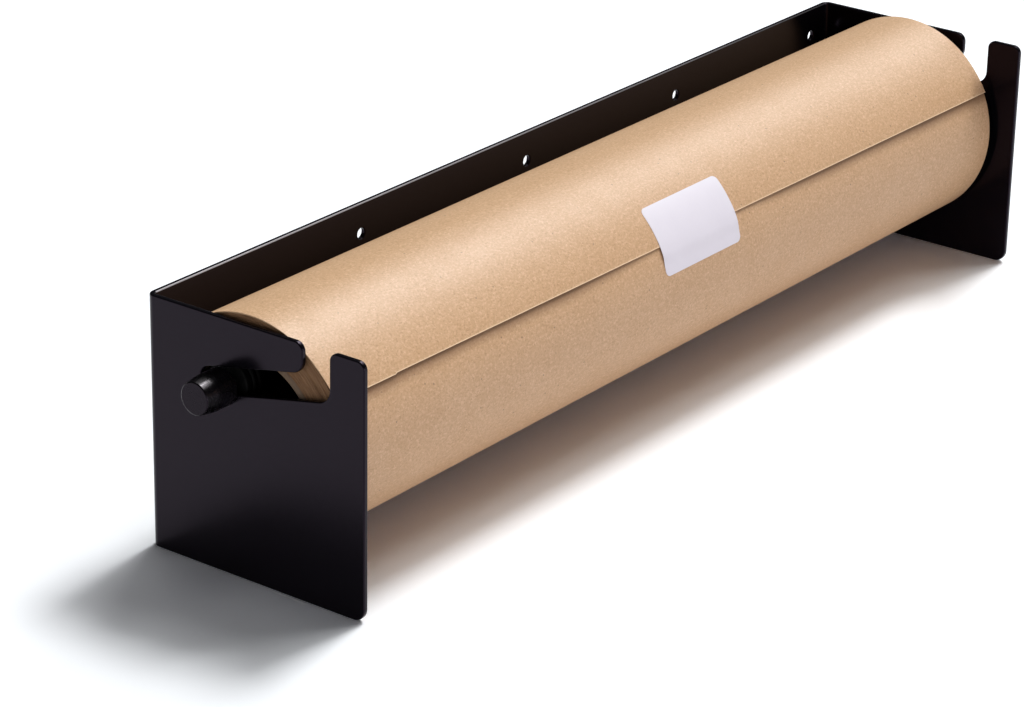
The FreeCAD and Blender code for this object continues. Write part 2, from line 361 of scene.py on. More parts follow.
# %% Flat outline
def slot_corners():
    """Top edge of one end, from its front corner to its back, as (distance from front, z, radius)."""
    half = CHANNEL_WIDTH / 2
    entry_back = TAB_WIDTH + ENTRY_WIDTH
    channel_end = DEPTH - CHANNEL_END_SETBACK
    tip = HEIGHT - NOSE_HEIGHT
    end_height = tip - (channel_end - entry_back) * math.tan(CHANNEL_FALL) - half / math.cos(CHANNEL_FALL)
    floor = end_height + (channel_end - TAB_WIDTH) * math.tan(CHANNEL_FALL) - half / math.cos(CHANNEL_FALL)
    along = half * np.array([math.cos(CHANNEL_FALL), -math.sin(CHANNEL_FALL)])
    across = half * np.array([math.sin(CHANNEL_FALL), math.cos(CHANNEL_FALL)])
    end = np.array([channel_end, end_height]) + along
    return [
        (0, HEIGHT, TAB_ROUND),
        (TAB_WIDTH, HEIGHT, TAB_ROUND),
        (TAB_WIDTH, floor, ENTRY_FLOOR_ROUND),
        (*(end - across), half),
        (*(end + across), half),
        (entry_back, tip, NOSE_TIP_ROUND),
        (entry_back, HEIGHT, NOSE_TOP_ROUND),
    ]


BEND_STEPS = 12
bend_lines = [SIDE_LENGTH + BEND_ARC * step / BEND_STEPS for step in range(BEND_STEPS + 1)]
front_half = slot_corners() + [(s, HEIGHT, 0) for s in bend_lines]
other_half = [(STRIP_LENGTH - s, z, radius) for s, z, radius in front_half]
bottom = [(s, 0, 0) for s in bend_lines] + [(STRIP_LENGTH - s, 0, 0) for s in reversed(bend_lines)]
near_toe, far_toe = (0, 0, TOE_ROUND), (STRIP_LENGTH, 0, TOE_ROUND)
sheet_corners = [near_toe, *bottom, far_toe, *other_half, *reversed(front_half)]
print("outline of", len(sheet_corners), "corners")

# %% Holes for wall screws
pattern = {mount["name"]: mount for mount in frame["record"]["mounts"]}
HOLE_RADIUS = pattern["wall_holes_outer"]["dims"]["hole_r_mm"] * MM
HOLE_HEIGHT = pattern["wall_holes_outer"]["pos_m"][2]
HOLE_PITCH = pattern["wall_holes_inner"]["dims"]["spacing_x_mm"] * MM / 2
HOLE_COUNT = 5
HOLE_POINTS = 40


def hole_loop(x):
    """A round hole as a loop that keeps the sheet on its left, with directions into the hole."""
    angle = -np.arange(HOLE_POINTS) * TURN / HOLE_POINTS
    spoke = np.stack([np.cos(angle), np.sin(angle)], -1)
    return np.array([STRIP_LENGTH / 2 + x, HOLE_HEIGHT]) + spoke * HOLE_RADIUS, -spoke


hole_places = HOLE_PITCH * (np.arange(HOLE_COUNT) - (HOLE_COUNT - 1) / 2)
print("holes at x", np.round(hole_places, 4))


# %% Folding
def folded(strip, height, depth):
    """Places on the folded sheet. Along the strip the point first runs straight back, then round the
    bend's circle, then straight to the side; depth moves it outward from the sheet's middle."""
    near = np.minimum(strip, STRIP_LENGTH - strip)
    side = np.where(strip < STRIP_LENGTH / 2, -1.0, 1.0)
    angle = np.clip((near - SIDE_LENGTH) / BEND_MIDDLE, 0, QUARTER)
    radius = BEND_MIDDLE + depth
    sideways = sheet_high[0] - SHEET - BEND_INSIDE + radius * np.cos(angle)
    sideways = sideways - np.maximum(near - SIDE_LENGTH - BEND_ARC, 0)
    back = sheet_low[1] + SIDE_LENGTH + radius * np.sin(angle) - np.maximum(SIDE_LENGTH - near, 0)
    return np.stack([side * sideways, back, height], -1)


RIM_STEPS = 4


def rim_profile():
    """Round edge of the sheet: how far each point lies inside the outline, and its depth."""
    quarter = np.linspace(0, QUARTER, RIM_STEPS + 1)
    inside = EDGE_ROUND * (1 - np.sin(quarter))
    deep = SHEET / 2 - EDGE_ROUND * (1 - np.cos(quarter))
    return np.concatenate([inside, inside[::-1]]), np.concatenate([deep, -deep[::-1]])


def sheet_piece():
    inside, deep = rim_profile()
    outward = np.concatenate([np.sin(np.linspace(0, QUARTER, RIM_STEPS + 1))] * 2)
    outward[RIM_STEPS + 1:] = outward[:RIM_STEPS + 1][::-1]
    loops = [soft_outline(sheet_corners)] + [hole_loop(x) for x in hole_places]
    points, directions, faces, flat, borders, start = [], [], [], [], [], 0
    for outline, right in loops:
        place = outline[:, None] - right[:, None] * inside[:, None]
        tilt = place + right[:, None] * outward[:, None] * MM
        lift = np.sign(deep) * np.sqrt(1 - outward ** 2) * MM
        surface = folded(place[..., 0], place[..., 1], deep)
        points.append(surface.reshape(-1, 3))
        directions.append((folded(tilt[..., 0], tilt[..., 1], deep + lift) - surface).reshape(-1, 3))
        number = start + np.arange(len(outline) * len(inside)).reshape(len(outline), -1)
        faces.append(grid_quads(number, close_rows=True))
        flat.append(place[:, 0])
        borders.append(number[:, [0, -1]])
        start += number.size
    faces += broad_faces(flat, np.concatenate(borders))
    directions = np.concatenate(directions)
    return np.concatenate(points), faces, directions / np.linalg.norm(directions, axis=1)[:, None]


def broad_faces(loops, borders):
    """Triangles of the sheet's two broad faces, between the outline, the holes and the bend lines."""
    flat = np.concatenate(loops)
    edges, start = [], 0
    for loop in loops:
        edges += [(start + i, start + (i + 1) % len(loop)) for i in range(len(loop))]
        start += len(loop)
    outline = loops[0]
    for line in bend_lines + [STRIP_LENGTH - s for s in bend_lines]:
        on_line = np.flatnonzero(abs(outline[:, 0] - line) < SHEET / 1000)
        edges.append(tuple(int(i) for i in on_line))
    scaled = [Vector(point) for point in (flat / MM).tolist()]
    _, _, triangles, kept, _, _ = delaunay_2d_cdt(scaled, edges, [], 0, 1e-5)
    first = np.array([numbers[0] for numbers in kept])
    triangles = first[np.array(triangles)]
    triangles = triangles[crossings(flat[triangles].mean(1), loops) % 2 == 1]
    return [borders[triangles, 0][:, ::-1], borders[triangles, 1]]


def crossings(places, loops):
    """How many outline sides a ray to the right of each place crosses: odd is inside the sheet."""
    count = np.zeros(len(places), int)
    for loop in loops:
        ahead = np.roll(loop, -1, 0)
        spans = (loop[:, 1] > places[:, 1:]) != (ahead[:, 1] > places[:, 1:])
        rise = np.where(ahead[:, 1] == loop[:, 1], 1, ahead[:, 1] - loop[:, 1])
        meet = loop[:, 0] + (places[:, 1:] - loop[:, 1]) / rise * (ahead[:, 0] - loop[:, 0])
        count += (spans & (meet > places[:, :1])).sum(1)
    return count


# %% Where a highlight is painted on the coat
# The painted highlight fades to this share at the right end, and covers this part of the edge's rounding.
PAINTED_HIGHLIGHT_LEAST = 0.06
ROUNDING_START, ROUNDING_STOP = 0.05 * EDGE_ROUND, 0.9 * EDGE_ROUND


def painted_highlight_amount(points):
    """A painted highlight: one on the front rounding of the back plate's top edge at its left end, the
    least amount at its right end, and an even fall between them. It is zero everywhere else."""
    into, down = points[:, 1] - (sheet_high[1] - SHEET), HEIGHT - points[:, 2]
    on_rounding = (into > ROUNDING_START) & (into < ROUNDING_STOP) & (down < EDGE_ROUND - ROUNDING_START)
    on_back = np.abs(points[:, 0]) < BACK_LENGTH / 2 + MM / 100
    fall = np.interp(points[:, 0], [-BACK_LENGTH / 2, BACK_LENGTH / 2], [1, PAINTED_HIGHLIGHT_LEAST])
    return on_rounding * on_back * fall


# %% The folded sheet
points, faces, directions = sheet_piece()
holder = add_piece("holder_sheet", "bracket", points, faces, sheet_coat, directions)
# Paints a highlight line on the front rounding of the back plate's top edge, bright at the left and fading to the
# right.
add_amount(holder, PAINTED_HIGHLIGHT_NAME, painted_highlight_amount(points))

# %% [markdown]
# ## The bar and what holds it
#
# The bar is a tube with a plastic plug pressed into each end. A thin rod leaves each plug, passes
# through the slot and carries a knob. They are all turned parts, so each is half an outline
# carried round the bar's axis. The rubber rings are small round cords in two grooves at each end.

# %% Bar, plugs and rods
TURN_STEPS = 96
GROOVE_ROUND = 0.3 * MM
GROOVE_SLACK = 0.05 * MM
SMALL_ROUND = 0.5 * MM
TIGHT_ROUND = 0.1 * MM
CORD_STEPS = 24
SIDES = ("left", "right")
bar_start, bar_stop, bar_bore, bar_radius = round_sizes("bar_tube", BAR_AXIS)
ring_nodes = {side: sorted(node for node in frame["nodes"] if node.startswith("grip_ring_" + side))
              for side in SIDES}
ring_boxes = {node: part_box(node) for nodes in ring_nodes.values() for node in nodes}
ring_section = ring_boxes[ring_nodes["left"][0]]
RING_SECTION = ring_section[1][0] - ring_section[0][0]
RING_MIDDLE = round_sizes(ring_nodes["left"][0], BAR_AXIS)[3] - RING_SECTION / 2


def ring_x(node):
    low, high = ring_boxes[node]
    return (low[0] + high[0]) / 2


def groove(x):
    """A square groove for one ring, in the bar's outline from left to right."""
    reach, floor = RING_SECTION / 2 + GROOVE_SLACK, RING_MIDDLE - RING_SECTION / 2
    return [(x - reach, bar_radius, GROOVE_ROUND), (x - reach, floor, GROOVE_ROUND),
            (x + reach, floor, GROOVE_ROUND), (x + reach, bar_radius, GROOVE_ROUND)]


def bar_outline():
    outside = [(bar_start, bar_radius, SMALL_ROUND)]
    for x in sorted(ring_x(node) for node in ring_boxes):
        outside += groove(x)
    return outside + [(bar_stop, bar_radius, SMALL_ROUND), (bar_stop, bar_bore, SMALL_ROUND),
                      (bar_start, bar_bore, SMALL_ROUND)]


points, faces, directions = turned(bar_outline(), BAR_AXIS, TURN_STEPS)
add_piece("roll_bar", "bar_tube", points, faces, bar_coat, directions)

# %% [markdown]
# The plugs are moulded plastic with a matt, slightly pebbled face. The rods are plain drawn steel:
# fine scratches run round them from the turning, so the pattern is noise squeezed along X.

# %% Plastic, steel and rubber
def moulded_plastic():
    material, tree, shader, place = new_finish("plug plastic", Specular_IOR_Level=0.1)
    pebble, cloud = grain(tree, place, 0.0006, 3), grain(tree, place, 0.008, 2)
    feed(tree, shader,
         Base_Color=mixed(tree, stretched(tree, cloud, 0, 1), (0.004, 0.004, 0.004, 1),
                          (0.007, 0.007, 0.0075, 1)),
         Roughness=stretched(tree, pebble, 0.5, 0.68),
         Normal=relief(tree, pebble, 0.00002))
    return material


def drawn_steel():
    material, tree, shader, place = new_finish("drawn steel", Metallic=1.0)
    squeezed = add_node(tree, "Mapping", {"Vector": place, "Scale": (12, 1, 1)}).outputs[0]
    scratch, stain = grain(tree, squeezed, 0.002, 4), grain(tree, place, 0.004, 2)
    feed(tree, shader,
         Base_Color=mixed(tree, stretched(tree, stain, 0, 1), (0.30, 0.30, 0.31, 1), (0.22, 0.21, 0.21, 1)),
         Roughness=stretched(tree, scratch, 0.28, 0.45),
         Normal=relief(tree, scratch, 0.00001))
    return material


def ring_rubber():
    material, tree, shader, place = new_finish("ring rubber", Specular_IOR_Level=0.12)
    bloom, speck = grain(tree, place, 0.003, 3), grain(tree, place, 0.0004, 2)
    feed(tree, shader,
         Base_Color=mixed(tree, stretched(tree, bloom, 0, 1), (0.006, 0.006, 0.0065, 1),
                          (0.011, 0.011, 0.0115, 1)),
         Roughness=stretched(tree, bloom, 0.55, 0.75),
         Normal=relief(tree, speck, 0.000015))
    return material


plastic, steel, rubber = moulded_plastic(), drawn_steel(), ring_rubber()
print("plastic, steel and rubber made")


# %% Plugs, rods and rings
def plug_outline(side, bore):
    """Left plug: a flange as wide as the bar, and a spigot inside the tube."""
    low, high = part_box("end_plug_" + side)
    start, stop = (low[0], high[0]) if side == "left" else (-high[0], -low[0])
    spigot = bar_bore - GROOVE_SLACK
    return [(start, bore, SMALL_ROUND), (start, bar_radius, 2 * SMALL_ROUND),
            (bar_start, bar_radius, TIGHT_ROUND), (bar_start, spigot, TIGHT_ROUND),
            (stop, spigot, 2 * SMALL_ROUND), (stop, bore, SMALL_ROUND)]


def rod_outline(side):
    start, stop, _, radius = round_sizes("stud_" + side, BAR_AXIS)
    return [(start, 0, 0), (start, radius, SMALL_ROUND), (stop, radius, SMALL_ROUND), (stop, 0, 0)]


def cord_ring(x):
    """A ring of round section: its circle goes round the bar's axis."""
    angle = -np.arange(CORD_STEPS) * TURN / CORD_STEPS
    half = RING_SECTION / 2
    return [(x + half * math.cos(a), RING_MIDDLE + half * math.sin(a), 0) for a in angle]


for side in SIDES:
    rod_radius = round_sizes("stud_" + side, BAR_AXIS)[3]
    outline = at_end(side, plug_outline(side, rod_radius + GROOVE_SLACK))
    points, faces, directions = turned(outline, BAR_AXIS, TURN_STEPS)
    add_piece("bar_plug_" + side, "end_plug_" + side, points, faces, plastic, directions)
    points, faces, directions = turned(rod_outline(side), BAR_AXIS, TURN_STEPS, closed=False)
    add_piece("bar_rod_" + side, "stud_" + side, points, faces, steel, directions)
    for number, node in enumerate(ring_nodes[side], start=1):
        points, faces, _ = turned(cord_ring(ring_x(node)), BAR_AXIS, TURN_STEPS)
        add_piece("rubber_ring_%s_%d" % (side, number), node, points, faces, rubber)

# %% [markdown]
# ## Knobs
#
# Each knob is a short turned cylinder with a flat end and a bevelled rim, painted gloss black. Its
# outer third is turned to a slight taper. That small slope is what lets the side mirror the high
# lamp over the top of the end plate, as a white streak that fades towards the plate. The side is
# polished by hands, so it mirrors more than the end.

# %% Knobs
KNOB_CHAMFER = 0.3 * MM
KNOB_BEVEL = 0.55 * MM
BEVEL_TILT = math.radians(32)
KNOB_SWELL = 0.4 * MM
TAPER_LENGTH = 8 * MM
TAPER_TILT = math.radians(9.5)
TAPER_SOFT = 26 * MM
KNOB_BORE_SHARE = 14 / 20.5
SIDE_TILT = math.radians(60)


def gloss_paint(name, mirror, tint):
    material, tree, shader, place = new_finish(name, Specular_IOR_Level=mirror, Specular_Tint=tint)
    flow, speck = grain(tree, place, 0.004, 2), grain(tree, place, 0.0005, 2)
    feed(tree, shader,
         Base_Color=mixed(tree, stretched(tree, speck, 0, 1, 0.5, 0.8), (0.0014, 0.0012, 0.0016, 1),
                          (0.0024, 0.002, 0.0026, 1)),
         Roughness=stretched(tree, flow, 0.25, 0.30),
         Normal=relief(tree, flow, 0.0000015))
    return material


def knob_outline(start, stop, radius, bore):
    """Left knob: flat outer end, bevel, taper, round side, inner end, and the blind bore for the rod.
    The taper takes off its length times the tangent of its tilt."""
    bore_end = stop - (stop - start) * KNOB_BORE_SHARE
    radius = radius + KNOB_SWELL
    bevelled = start + KNOB_BEVEL * math.tan(BEVEL_TILT)
    brink = radius - (start + TAPER_LENGTH - bevelled) * math.tan(TAPER_TILT)
    return [(start, 0, 0), (start, brink - KNOB_BEVEL, KNOB_CHAMFER), (bevelled, brink, KNOB_CHAMFER),
            (start + TAPER_LENGTH, radius, TAPER_SOFT), (stop, radius, KNOB_CHAMFER),
            (stop, bore, SMALL_ROUND / 2), (bore_end, bore, SMALL_ROUND / 2), (bore_end, 0, 0)]


face_paint = gloss_paint("paint on the knob's end", 0.15, (0.96, 0.70, 1, 1))
side_paint = gloss_paint("paint on the knob's side", 0.6, (1, 0.93, 1, 1))
for side in SIDES:
    start, stop, _, radius = round_sizes("knob_" + side, BAR_AXIS)
    bore = round_sizes("stud_" + side, BAR_AXIS)[3] + GROOVE_SLACK
    near_end, far_end = sorted((abs(start), abs(stop)))
    outline = at_end(side, knob_outline(-far_end, -near_end, radius, bore))
    points, faces, directions = turned(outline, BAR_AXIS, TURN_STEPS, closed=False)
    knob = add_piece("bar_knob_" + side, "knob_" + side, points, faces, face_paint, directions)
    knob.data.materials.append(side_paint)
    facing = np.empty(3 * len(knob.data.polygons))
    knob.data.polygons.foreach_get("normal", facing)
    on_side = np.abs(facing.reshape(-1, 3)[:, 0]) < math.cos(SIDE_TILT)
    knob.data.polygons.foreach_set("material_index", on_side.astype(int))

# %% [markdown]
# ## Kraft paper
#
# Wrapping kraft is pressed smooth on one side, so it has a wide soft shine. Seen close, its tan is
# made of pale and dark fibres and a few dark specks of bark. Seen from further off there is only a
# faint cloudiness. The pattern is several noises of very different size, each only a few percent.

# %% Kraft finishes
KRAFT = (0.645, 0.400, 0.214, 1)
KRAFT_PALE = (0.800, 0.545, 0.330, 1)
KRAFT_DARK = (0.475, 0.265, 0.122, 1)
# Colours of the painted highlight on the loose edge and of the painted shadow below it.
KRAFT_EDGE_HIGHLIGHT = (1.000, 0.760, 0.480, 1)
KRAFT_SHADE = (0.200, 0.098, 0.040, 1)
BARK = (0.190, 0.105, 0.055, 1)


def kraft_colour(tree, place):
    """Tan with clouds, fibres that lie along the roll or round it, and sparse specks of bark."""
    cloud = grain(tree, place, 0.022, 3, 0.6)
    along = add_node(tree, "Mapping", {"Vector": place, "Scale": (0.7, 1, 1)}).outputs[0]
    fibre, fleck = grain(tree, along, 0.0013, 3, 0.8), grain(tree, place, 0.0012, 3, 0.8)
    colour = mixed(tree, stretched(tree, cloud, 0, 0.16), KRAFT, KRAFT_DARK)
    colour = mixed(tree, stretched(tree, fibre, 0, 1, 0.47, 0.72), colour, KRAFT_PALE)
    colour = mixed(tree, stretched(tree, fleck, 1, 0, 0.28, 0.5), colour, KRAFT_DARK)
    cells = add_node(tree, "TexVoronoi", {"Vector": place, "Scale": 190.0})
    chosen = add_node(tree, "SeparateColor", {0: cells.outputs["Color"]}).outputs[0]
    speck = maths(tree, "MULTIPLY", stretched(tree, cells.outputs["Distance"], 0.7, 0, 0.05, 0.12),
                  stretched(tree, chosen, 0, 1, 0.72, 0.76))
    return mixed(tree, speck, colour, BARK), fibre, cloud


# Names of the amounts for the painted highlight on the loose edge and the painted shadow below it.
EDGE_HIGHLIGHT_NAME, SHADE_NAME = "painted_edge_highlight", "shade"


def kraft_paper():
    """Kraft with two amounts that the mesh carries: a painted highlight on its loose edge, and a
    painted shadow below it.
    """
    material, tree, shader, place = new_finish("kraft paper", Specular_IOR_Level=0.56)
    colour, fibre, cloud = kraft_colour(tree, place)
    # The painted shadow below the loose edge, then the painted highlight on the edge itself.
    shaded = mixed(tree, amount_of(tree, SHADE_NAME), colour, KRAFT_SHADE)
    feed(tree, shader,
         Base_Color=mixed(tree, amount_of(tree, EDGE_HIGHLIGHT_NAME), shaded, KRAFT_EDGE_HIGHLIGHT),
         Roughness=stretched(tree, cloud, 0.47, 0.54),
         Normal=relief(tree, fibre, 0.000010, relief(tree, cloud, 0.00008)))
    return material


kraft = kraft_paper()
print("kraft paper made")

# %% [markdown]
# ## The last turn of paper
#
# The outermost turn ends in a loose edge that runs along the front of the roll, slightly askew. The
# label holds it down in one place, and it stands off by a millimetre elsewhere. The piece is a thin
# shell: an outer and an inner surface on the same grid of place along the roll and distance round
# it, joined at all four borders. Steps along the grid lie closer together near the edge and at the
# torn notch. The turn below has sunk a little, where nothing presses on it, so the edge throws a
# soft shade. Its last half millimetre curls up and catches the light. The real edge stands off
# further than the frame leaves room for, so the mesh also carries two amounts for the finish: a
# painted shadow darkens the paper just below the edge, and a painted highlight makes the edge itself
# pale.

# %% Shape of the last turn
roll_start, roll_stop, turn_inside, roll_radius = round_sizes("outer_turn", ROLL_AXIS)
EDGE_LEFT, EDGE_RIGHT = math.radians(29.8), math.radians(25.4)
SUNK = turn_inside + 0.05 * MM
RESTING = roll_radius - 0.15 * MM
SINK_START, SINK_STOP = 0.76, 0.95
PAPER = 0.16 * MM
TUCK = 9 * MM
LIFT_LEAST, LIFT_MOST, LIFT_REACH = 0.05 * MM, 0.62 * MM, 10 * MM
HELD_X = (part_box("label")[0][0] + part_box("label")[1][0]) / 2
HELD_REACH = 85 * MM
LIP_HEIGHT, LIP_REACH = 0.12 * MM, 0.6 * MM
# Sizes of the painted shadow below the edge and of the painted highlight on it.
SHADE_NEAR, SHADE_LEAST, SHADE_FAR = 0.7 * MM, 2.5 * MM, 6.5 * MM
SHADE_WIDE, SHADE_CREASE = 0.80, 0.25
EDGE_HIGHLIGHT_REACH, EDGE_HIGHLIGHT_MOST = 0.45 * MM, 0.85
NOTCH_X = -262 * MM
NOTCH_STEP = 0.55 * MM
random = np.random.default_rng(7)
wave_phase, wave_length = random.uniform(0, TURN, 6), random.uniform(0.05, 0.22, 6)


def smooth(share):
    """Zero to one along an S curve: three squares less two cubes."""
    share = np.clip(share, 0, 1)
    return share * share * (3 - 2 * share)


def edge_angle(x):
    """Angle of the loose edge above the front: a straight skew, with a small torn step near one end."""
    share = (x - roll_start) / (roll_stop - roll_start)
    torn = NOTCH_STEP / roll_radius * (1 - np.clip((x - NOTCH_X) / MM, 0, 1))
    return EDGE_LEFT + (EDGE_RIGHT - EDGE_LEFT) * share - torn


def edge_lift(x):
    """How far the loose edge stands off: least where the label holds it, with a slow wave along it."""
    held = np.exp(-((x - HELD_X) / HELD_REACH) ** 2)
    wave = np.sin(TURN * x[..., None] / wave_length + wave_phase).mean(-1)
    return LIFT_LEAST + (LIFT_MOST - LIFT_LEAST) * (1 - held) * (0.9 + 0.2 * wave)


def paper_radius(x, distance):
    """Outer radius of the paper at a distance back from the loose edge: the resting radius, sinking
    over the last part of the turn, plus the lift and the lip near the edge."""
    ahead = np.maximum(distance, 0)
    sunk = (RESTING - SUNK) * smooth((ahead / (TURN * roll_radius) - SINK_START) / (SINK_STOP - SINK_START))
    lift = edge_lift(x) * np.exp(-(ahead / LIFT_REACH) ** 2)
    return RESTING - sunk + lift + LIP_HEIGHT * np.exp(-(ahead / LIP_REACH) ** 2)


def on_roll(x, angle, radius):
    """Point at a place along the roll, an angle above its front, and a radius."""
    return np.stack([x, ROLL_AXIS[0] - radius * np.cos(angle), ROLL_AXIS[1] + radius * np.sin(angle)], -1)


def shell(outer, inner):
    """A thin closed shell between two grids of points, whose rows x columns face outward."""
    rows, columns = outer.shape[:2]
    top = np.arange(rows * columns).reshape(rows, columns)
    under = top + rows * columns
    rims = [grid_quads(np.stack([under[0], top[0]])), grid_quads(np.stack([top[-1], under[-1]])),
            grid_quads(np.stack([top[:, 0], under[:, 0]], 1)[::-1][:, ::-1]),
            grid_quads(np.stack([top[:, -1], under[:, -1]], 1))]
    points = np.concatenate([outer.reshape(-1, 3), inner.reshape(-1, 3)])
    return points, [grid_quads(top), grid_quads(under)[:, ::-1], *rims]


# %% The last turn
ALONG_STEPS, ROUND_STEPS, FINE_STEPS = 90, 300, 30
FULL_TURN = TURN * roll_radius
x = np.linspace(roll_start, roll_stop, ALONG_STEPS)
x = np.sort(np.append(x, NOTCH_X + np.array([-0.2, 0.2, 0.8, 1.2]) * MM))
round_share = np.linspace(0, 1, ROUND_STEPS) ** 1.6
under_edge = FULL_TURN - np.geomspace(0.1 * MM, 12 * MM, FINE_STEPS)
round_steps = np.sort(np.concatenate([round_share * (FULL_TURN + TUCK), under_edge]))
along, distance = np.meshgrid(x, round_steps, indexing="ij")
angle = edge_angle(along) + distance / roll_radius
outer_radius = paper_radius(along, distance)
loose = 1 - np.clip((distance - 1.2 * TUCK) / TUCK, 0, 1)
inner_radius = turn_inside + (outer_radius - PAPER - turn_inside) * loose
points, faces = shell(on_roll(along, angle, outer_radius), on_roll(along, angle, inner_radius))
last_turn = add_piece("last_turn", "outer_turn", points, faces, kraft, crease_deg=35)
# Painted shadow on the paper below the loose edge, wider where the edge stands off further, and a painted
# highlight on the edge's last half millimetre.
below = np.maximum(FULL_TURN - distance, 0)
stands_off = (edge_lift(along) / LIFT_MOST).clip(0, 1)
shade = SHADE_WIDE * (1 - smooth(below / (SHADE_LEAST + SHADE_FAR * stands_off)))
shade = np.sqrt(stands_off) * (shade + SHADE_CREASE * np.exp(-below / SHADE_NEAR))
shade = np.where(distance < FULL_TURN / 2, 0, shade)
painted_edge_highlight = EDGE_HIGHLIGHT_MOST * np.exp(-(distance / EDGE_HIGHLIGHT_REACH) ** 2)
for name, amount in ((EDGE_HIGHLIGHT_NAME, painted_edge_highlight), (SHADE_NAME, shade)):
    add_amount(last_turn, name, np.stack([amount, 0 * amount]))
print("paper radius %.2f to %.2f mm" % (outer_radius.min() / MM, outer_radius.max() / MM))

# %% [markdown]
# ## The wound ends
#
# At its ends the roll shows the edges of hundreds of turns. They are never quite level: groups of
# turns stand a little proud, and the pattern winds inward as a very tight spiral. The piece is a
# ring whose end faces carry that relief, as waves in radius plus a small share of the angle. The
# finer streaks are in the finish, which reads the same spiral from Object coordinates.

# %% Finish of the wound ends
WIND = 0.9 * MM


def spiral_place(tree, place, axis):
    """Radius, shifted by one winding per turn, so that a pattern on it runs as a spiral."""
    centred = add_node(tree, "Mapping", {"Vector": place, "Location": (0, -axis[0], -axis[1])}).outputs[0]
    parts = add_node(tree, "SeparateXYZ", {0: centred})
    flat = add_node(tree, "CombineXYZ", {1: parts.outputs[1], 2: parts.outputs[2]}).outputs[0]
    radius = add_node(tree, "VectorMath", {0: flat}, operation="LENGTH").outputs["Value"]
    angle = maths(tree, "ARCTAN2", parts.outputs[2], parts.outputs[1])
    wound = maths(tree, "MULTIPLY_ADD", angle, WIND / TURN, radius)
    return wound, angle, radius


def wound_edges():
    material, tree, shader, place = new_finish("wound paper edges", Specular_IOR_Level=0.25)
    wound, angle, _ = spiral_place(tree, place, ROLL_AXIS)
    lines = add_node(tree, "CombineXYZ", {0: wound, 1: maths(tree, "MULTIPLY", angle, 0.0012)}).outputs[0]
    thin, wide = grain(tree, lines, 0.00022, 2, 0.6), grain(tree, lines, 0.0013, 2, 0.6)
    speck = grain(tree, place, 0.0009, 2)
    colour = mixed(tree, stretched(tree, wide, 0, 1), (0.40, 0.222, 0.118, 1), (0.255, 0.136, 0.070, 1))
    colour = mixed(tree, stretched(tree, thin, 0, 0.75, 0.45, 0.7), colour, (0.10, 0.052, 0.027, 1))
    colour = mixed(tree, stretched(tree, thin, 0.5, 0, 0.3, 0.42), colour, (0.50, 0.290, 0.158, 1))
    colour = mixed(tree, stretched(tree, speck, 0, 0.25, 0.5, 0.7), colour, KRAFT_DARK)
    feed(tree, shader, Base_Color=colour, Roughness=stretched(tree, speck, 0.75, 0.9),
         Normal=relief(tree, thin, 0.00012, relief(tree, wide, 0.0002)))
    return material


edges_finish = wound_edges()
print("wound edges made")

# %% The wound paper
_, _, pack_bore, pack_radius = round_sizes("paper_roll", ROLL_AXIS)
RING_STEPS, AROUND = 56, 300
relief_waves = [(length, random.uniform(0, TURN), height) for length, height in
                ((5.5, 0.10), (3.1, 0.08), (1.9, 0.06), (1.2, 0.05))]


def end_relief(radius, angle):
    """How deep each turn lies behind the end's plane: waves in the spiral radius, slowly changing
    round the roll."""
    wound = radius + WIND * angle / TURN
    deep = sum(height * (1 + np.sin(TURN * wound / MM / length + phase + 0.6 * np.sin(angle)))
               for length, phase, height in relief_waves)
    fade = np.clip((radius - pack_bore) / MM, 0, 1) * np.clip((pack_radius - radius) / MM, 0, 1)
    return deep * MM * fade


def wound_pack():
    """A ring: outer side, right end, bore and left end, carried round the roll's axis."""
    angle = np.arange(AROUND) * TURN / AROUND
    outward = np.linspace(pack_bore, pack_radius, RING_STEPS)
    end_radius, end_angle = np.meshgrid(outward, angle, indexing="ij")
    deep = end_relief(end_radius, np.where(end_angle > math.pi, end_angle - TURN, end_angle))
    left = on_roll(roll_start + deep, end_angle, end_radius)
    right = on_roll(roll_stop - deep, end_angle, end_radius)
    return np.concatenate([left, right[::-1]])


rings = wound_pack()
number = np.arange(rings.shape[0] * rings.shape[1]).reshape(rings.shape[:2])
wound = [grid_quads(number, True, True)]
add_piece("wound_paper", "paper_roll", rings, wound, edges_finish, crease_deg=50)

# %% [markdown]
# ## The board tube
#
# Paper is wound on a tube of grey-brown board. The tube is itself wound, from strips that run
# round it at a slant, so its bore shows a shallow helical seam, and its end shows a few fine plies.

# %% Board tube
def core_board():
    material, tree, shader, place = new_finish("core board", Specular_IOR_Level=0.25)
    _, angle, radius = spiral_place(tree, place, ROLL_AXIS)
    plies = add_node(tree, "CombineXYZ", {0: radius, 1: maths(tree, "MULTIPLY", angle, 0.0006)}).outputs[0]
    ply, felt = grain(tree, plies, 0.0006, 1), grain(tree, place, 0.0012, 4, 0.7)
    colour = mixed(tree, stretched(tree, ply, 0, 1), (0.27, 0.185, 0.127, 1), (0.18, 0.118, 0.078, 1))
    colour = mixed(tree, stretched(tree, felt, 0, 0.5), colour, (0.33, 0.235, 0.165, 1))
    feed(tree, shader, Base_Color=colour, Roughness=stretched(tree, felt, 0.8, 0.95),
         Normal=relief(tree, felt, 0.00005, relief(tree, ply, 0.0001)))
    return material


core_start, core_stop, core_bore, core_radius = round_sizes("roll_core", ROLL_AXIS)
STRIP_PITCH = 110 * MM
SEAM_DEPTH = 0.35 * MM
SEAM_WIDTH = 2.2 * MM
BORE_STEPS = 150


